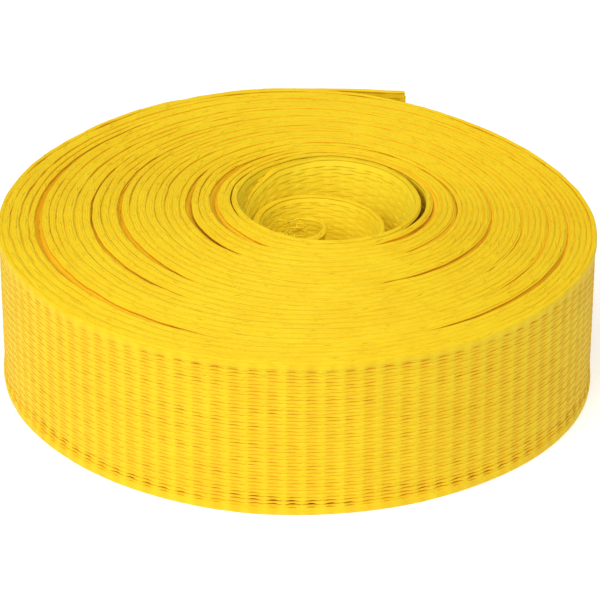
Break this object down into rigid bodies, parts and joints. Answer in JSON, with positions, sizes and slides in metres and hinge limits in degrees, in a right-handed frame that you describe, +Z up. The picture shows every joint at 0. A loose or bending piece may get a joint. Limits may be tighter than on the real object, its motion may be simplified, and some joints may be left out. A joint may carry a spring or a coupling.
{
  "type": "flat web sling",
  "caption": "Coreless roll of plain, open-woven flat lifting webbing standing on its edge; the cut outer end peels off and the inner end is curled and frayed.",
  "frame": {"origin": "centre of the roll's outline, on the surface it stands on", "axes": "+Z up along the roll's axis and across the web; +Y to the back, where the free outer end leaves the roll; the free end points along +X"},
  "size_m": [0.1762, 0.1768, 0.05],
  "materials": {
    "webbing": "woven polyester multifilament, semi-matt",
    "loose_yarn": "loose polyester filament yarn"
  },
  "bodies": {
    "roll": {"wrap_01": "webbing", "wrap_02": "webbing", "wrap_03": "webbing", "wrap_04": "webbing", "wrap_05": "webbing", "wrap_06": "webbing", "wrap_07": "webbing", "wrap_08": "webbing", "wrap_09": "webbing", "wrap_10": "webbing", "wrap_11": "webbing", "wrap_12": "webbing", "wrap_13": "webbing", "wrap_14": "webbing", "wrap_15": "webbing", "wrap_16": "webbing", "wrap_17": "webbing", "wrap_18": "webbing", "wrap_19": "webbing", "wrap_20": "webbing", "wrap_21": "webbing", "wrap_22": "webbing"},
    "peel_6": {"peel_6": "webbing"},
    "peel_5": {"peel_5": "webbing"},
    "peel_4": {"peel_4": "webbing"},
    "peel_3": {"peel_3": "webbing"},
    "peel_2": {"peel_2": "webbing"},
    "peel_1": {"peel_1": "webbing"},
    "free_end": {"free_end": "webbing"},
    "core": {"wrap_23": "webbing", "wrap_24": "webbing", "wrap_25": "webbing", "wrap_26": "webbing", "wrap_27": "webbing", "wrap_28": "webbing"},
    "inner_end": {"inner_loop": "webbing", "inner_curl": "webbing", "frayed_yarns": "loose_yarn"}
  },
  "joints": [
    {"name": "unroll", "type": "hinge", "parent": "roll", "child": "peel_6", "pos_m": [0.00016, -0.08782, 0.025], "axis": [0, 0, 1], "range_deg": [0, 30]},
    {"name": "unroll_5", "type": "hinge", "parent": "peel_6", "child": "peel_5", "pos_m": [-0.04366, -0.07608, 0.025], "axis": [0, 0, 1], "range_deg": [0, 30]},
    {"name": "unroll_4", "type": "hinge", "parent": "peel_5", "child": "peel_4", "pos_m": [-0.07574, -0.044, 0.025], "axis": [0, 0, 1], "range_deg": [0, 30]},
    {"name": "unroll_3", "type": "hinge", "parent": "peel_4", "child": "peel_3", "pos_m": [-0.08748, -0.00018, 0.025], "axis": [0, 0, 1], "range_deg": [0, 30]},
    {"name": "unroll_2", "type": "hinge", "parent": "peel_3", "child": "peel_2", "pos_m": [-0.07569, 0.04382, 0.025], "axis": [0, 0, 1], "range_deg": [0, 30]},
    {"name": "unroll_1", "type": "hinge", "parent": "peel_2", "child": "peel_1", "pos_m": [-0.04348, 0.07603, 0.025], "axis": [0, 0, 1], "range_deg": [0, 30]},
    {"name": "free_end_swing", "type": "hinge", "parent": "peel_1", "child": "free_end", "pos_m": [0.00052, 0.08782, 0.025], "axis": [0, 0, 1], "range_deg": [-3, 75]},
    {"name": "core_push_out", "type": "slide", "parent": "roll", "child": "core", "axis": [0, 0, 1], "range_m": [0, 0.03]},
    {"name": "inner_end_swing", "type": "hinge", "parent": "core", "child": "inner_end", "pos_m": [0.0106, 0.03966, 0.025], "axis": [0, 0, 1], "range_deg": [-1, 12]}
  ],
  "couplings": [
    {"joint": "unroll_5", "follows": "unroll", "ratio": 1},
    {"joint": "unroll_4", "follows": "unroll", "ratio": 1},
    {"joint": "unroll_3", "follows": "unroll", "ratio": 1},
    {"joint": "unroll_2", "follows": "unroll", "ratio": 1},
    {"joint": "unroll_1", "follows": "unroll", "ratio": 1}
  ]
}
